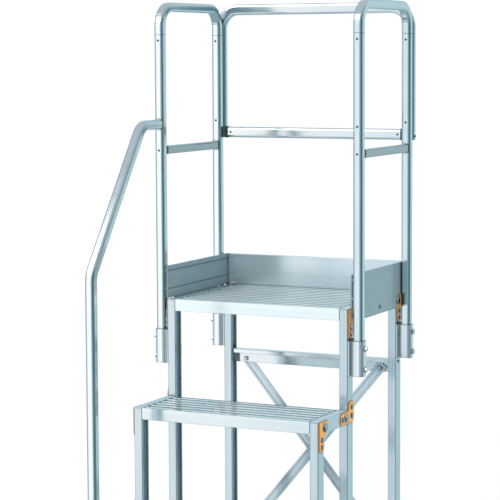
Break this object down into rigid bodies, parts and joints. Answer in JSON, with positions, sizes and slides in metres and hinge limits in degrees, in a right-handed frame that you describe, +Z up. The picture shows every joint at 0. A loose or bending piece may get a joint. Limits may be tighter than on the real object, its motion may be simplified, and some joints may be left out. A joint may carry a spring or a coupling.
{
  "type": "stepped work platform",
  "caption": "Free-standing aluminium work platform: steps up its front, a ribbed deck with toe boards, a back brace, a stair rail, and a guard rail that lifts out of clamp sockets.",
  "frame": {"origin": "floor level, under the middle of the bounding box", "axes": "+Z up, +Y towards the back guard, +X to the right of a person climbing the steps"},
  "size_m": [0.708, 0.8842, 1.807],
  "materials": {
    "frame_aluminium": "satin extrusion",
    "rail_aluminium": "bright rounded-square tube",
    "bracket_orange": "semi-gloss orange paint on plate, with plated bolt heads",
    "foot_rubber": "matt moulded"
  },
  "bodies": {
    "platform": {"leg_lower_step_left": "frame_aluminium", "leg_lower_step_right": "frame_aluminium", "leg_upper_step_left": "frame_aluminium", "leg_upper_step_right": "frame_aluminium", "leg_deck_left": "frame_aluminium", "leg_deck_right": "frame_aluminium", "leg_deck_rear_left": "frame_aluminium", "leg_deck_rear_right": "frame_aluminium", "foot_lower_step_left": "foot_rubber", "foot_lower_step_right": "foot_rubber", "foot_upper_step_left": "foot_rubber", "foot_upper_step_right": "foot_rubber", "foot_deck_left": "foot_rubber", "foot_deck_right": "foot_rubber", "foot_deck_rear_left": "foot_rubber", "foot_deck_rear_right": "foot_rubber", "side_frame_lower_step_left": "frame_aluminium", "side_frame_lower_step_right": "frame_aluminium", "side_frame_upper_step_left": "frame_aluminium", "side_frame_upper_step_right": "frame_aluminium", "side_frame_deck_left": "frame_aluminium", "side_frame_deck_right": "frame_aluminium", "tread_lower_step": "frame_aluminium", "tread_upper_step": "frame_aluminium", "deck_platform": "frame_aluminium", "bracket_lower_step_front_left": "bracket_orange", "bracket_lower_step_front_right": "bracket_orange", "bracket_upper_step_front_left": "bracket_orange", "bracket_upper_step_front_right": "bracket_orange", "bracket_deck_front_left": "bracket_orange", "bracket_deck_front_right": "bracket_orange", "bracket_deck_rear_left": "bracket_orange", "bracket_deck_rear_right": "bracket_orange", "splice_lower_step_left": "bracket_orange", "splice_lower_step_right": "bracket_orange", "splice_upper_step_left": "bracket_orange", "splice_upper_step_right": "bracket_orange", "back_bar_lower": "frame_aluminium", "back_bar_upper": "frame_aluminium", "brace_front": "frame_aluminium", "brace_rear": "frame_aluminium", "socket_front_left": "frame_aluminium", "socket_front_right": "frame_aluminium", "socket_rear_left": "frame_aluminium", "socket_rear_right": "frame_aluminium", "socket_stair_rail": "frame_aluminium", "toe_board_left": "frame_aluminium", "toe_board_right": "frame_aluminium", "toe_board_back": "frame_aluminium"},
    "guard_rail": {"post_front_left": "rail_aluminium", "post_front_right": "rail_aluminium", "post_rear_left": "rail_aluminium", "post_rear_right": "rail_aluminium", "top_rail_left": "rail_aluminium", "top_rail_right": "rail_aluminium", "mid_rail_left": "rail_aluminium", "mid_rail_right": "rail_aluminium", "back_top_rail": "rail_aluminium", "back_mid_rail": "rail_aluminium", "stair_rail": "rail_aluminium"}
  },
  "joints": [
    {"name": "guard_rail_lift", "type": "slide", "parent": "platform", "child": "guard_rail", "axis": [0, 0, 1], "range_m": [0, 0.11]}
  ]
}
